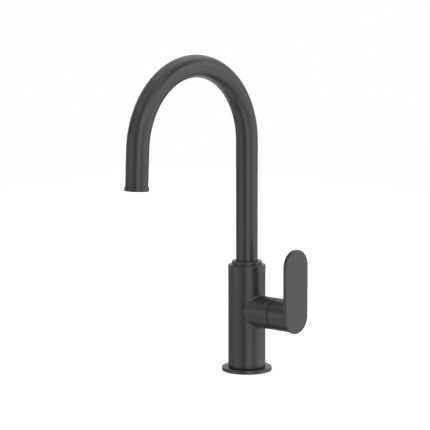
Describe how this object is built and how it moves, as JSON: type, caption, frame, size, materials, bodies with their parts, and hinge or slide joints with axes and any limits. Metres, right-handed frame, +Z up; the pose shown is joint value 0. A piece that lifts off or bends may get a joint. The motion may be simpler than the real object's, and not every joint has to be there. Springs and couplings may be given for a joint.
{
  "type": "gooseneck bar faucet",
  "caption": "Deck-mounted single-lever bar faucet with a swivelling gooseneck spout, a side paddle handle and a ceramic cartridge.",
  "frame": {"origin": "centre of the flange's underside, on the deck", "axes": "+Z up along the body's axis, -Y towards the spout's outlet (the user's side), +X along the valve's axis towards the handle"},
  "size_m": [0.1033, 0.2225, 0.3671],
  "materials": {
    "matt_black": "matt black coating on brass, fine satin sheen",
    "bare_brass": "turned brass",
    "stainless": "turned stainless steel",
    "seal_rubber": "matt black rubber",
    "bearing_plastic": "natural acetal",
    "cartridge_plastic": "white moulded plastic",
    "rotor_plastic": "red moulded plastic",
    "carrier_plastic": "blue moulded plastic",
    "black_plastic": "black moulded plastic",
    "ceramic": "lapped alumina ceramic"
  },
  "bodies": {
    "body": {"mixer_body": "matt_black", "base_flange": "matt_black", "base_gasket": "seal_rubber", "spout_collar": "matt_black", "spout_upper_bush": "bearing_plastic", "spout_lower_bush": "bearing_plastic", "cartridge_base": "cartridge_plastic", "cartridge_port_seals": "seal_rubber", "cartridge_disc_seals": "seal_rubber", "cartridge_fixed_disc": "ceramic", "cartridge_housing": "cartridge_plastic", "cartridge_nut": "bare_brass", "dome_cover": "matt_black"},
    "spout": {"spout_tube": "matt_black", "spout_spigot": "bare_brass", "spout_orings": "seal_rubber", "outlet_ring": "matt_black", "aerator_housing": "black_plastic", "aerator_oring": "seal_rubber", "aerator_grid": "bearing_plastic", "aerator_screen": "stainless"},
    "lever_guide": {"cartridge_rotor": "rotor_plastic", "pivot_pin": "stainless", "rotor_oring": "seal_rubber"},
    "lever": {"lever_stem": "stainless", "handle_hub": "matt_black", "handle_paddle": "matt_black", "handle_grub_screw": "stainless", "grub_screw_plug": "seal_rubber"},
    "disc_slider": {"disc_carrier": "carrier_plastic", "moving_disc": "ceramic"}
  },
  "joints": [
    {"name": "spout_swivel", "type": "hinge", "parent": "body", "child": "spout", "pos_m": [0, 0, 0.1085], "axis": [0, 0, 1], "continuous": true},
    {"name": "lever_turn", "type": "hinge", "parent": "body", "child": "lever_guide", "pos_m": [0.0342, 0, 0.0708], "axis": [1, 0, 0], "range_deg": [-45, 45]},
    {"name": "lever_tilt", "type": "hinge", "parent": "lever_guide", "child": "lever", "pos_m": [0.0342, 0, 0.0708], "axis": [0, 1, 0], "range_deg": [0, 22]},
    {"name": "disc_slide", "type": "slide", "parent": "lever_guide", "child": "disc_slider", "axis": [0, 0, 1], "range_m": [0, 0.00325]}
  ],
  "couplings": [
    {"joint": "disc_slide", "follows": "lever_tilt", "m_per_rad": 0.0083}
  ]
}
